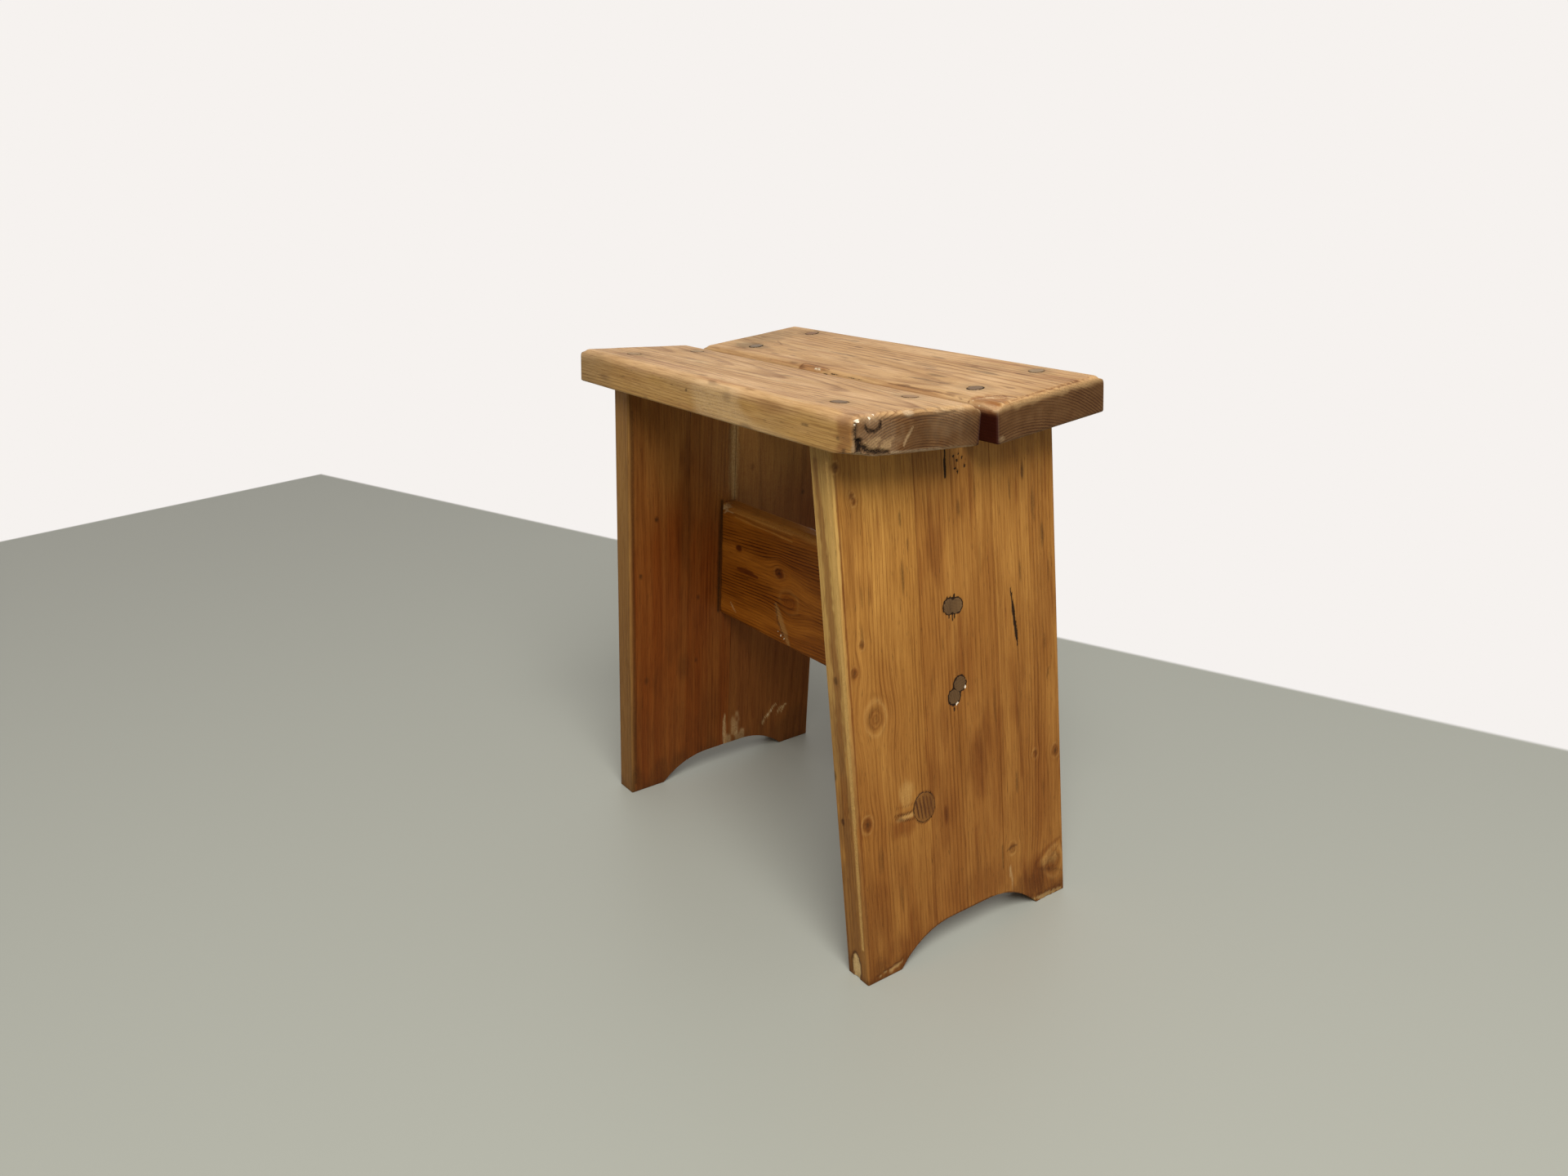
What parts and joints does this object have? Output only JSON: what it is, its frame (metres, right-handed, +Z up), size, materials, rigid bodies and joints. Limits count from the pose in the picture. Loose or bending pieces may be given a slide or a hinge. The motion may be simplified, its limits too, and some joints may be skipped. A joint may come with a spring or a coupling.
{
  "type": "stool",
  "caption": "Low rustic pine stool: a split, slightly dished seat on splayed plank legs with arched feet, tied by a stretcher.",
  "frame": {"origin": "on the floor, under the middle of the seat", "axes": "+Z up, +X along the seat boards towards the leg with the knot patch, +Y to the back"},
  "size_m": [0.395, 0.2398, 0.438],
  "materials": {
    "seat_pine": "worn, waxed",
    "leg_pine": "satin varnish",
    "stretcher_pine": "satin varnish",
    "patch_pine": "satin varnish",
    "plug_wood": "dull",
    "screw_steel": "plain zinc"
  },
  "bodies": {
    "root": {"seat_board_front": "seat_pine", "seat_board_rear": "seat_pine", "left_leg_stave_front": "leg_pine", "left_leg_stave_middle": "leg_pine", "left_leg_stave_rear": "leg_pine", "right_leg_stave_front": "leg_pine", "right_leg_stave_middle": "leg_pine", "right_leg_stave_rear": "leg_pine", "stretcher": "stretcher_pine", "right_leg_knot_patch": "patch_pine", "seat_screw_front_left_inner": "screw_steel", "seat_screw_front_left_outer": "screw_steel", "seat_screw_front_right_inner": "screw_steel", "seat_screw_front_right_outer": "screw_steel", "seat_screw_rear_left_inner": "screw_steel", "seat_screw_rear_left_outer": "screw_steel", "seat_screw_rear_right_inner": "screw_steel", "seat_screw_rear_right_outer": "screw_steel", "left_stretcher_screw_upper": "screw_steel", "left_stretcher_screw_lower": "screw_steel", "right_stretcher_screw_upper": "screw_steel", "right_stretcher_screw_lower": "screw_steel", "seat_plug_front_left_inner": "plug_wood", "seat_plug_front_left_outer": "plug_wood", "seat_plug_front_right_inner": "plug_wood", "seat_plug_front_right_outer": "plug_wood", "seat_plug_rear_left_inner": "plug_wood", "seat_plug_rear_left_outer": "plug_wood", "seat_plug_rear_right_inner": "plug_wood", "seat_plug_rear_right_outer": "plug_wood", "left_stretcher_plug_upper": "plug_wood", "left_stretcher_plug_lower": "plug_wood", "right_stretcher_plug_upper": "plug_wood", "right_stretcher_plug_lower": "plug_wood", "right_old_plug_upper": "plug_wood", "right_old_plug_lower": "plug_wood"}
  },
  "joints": []
}
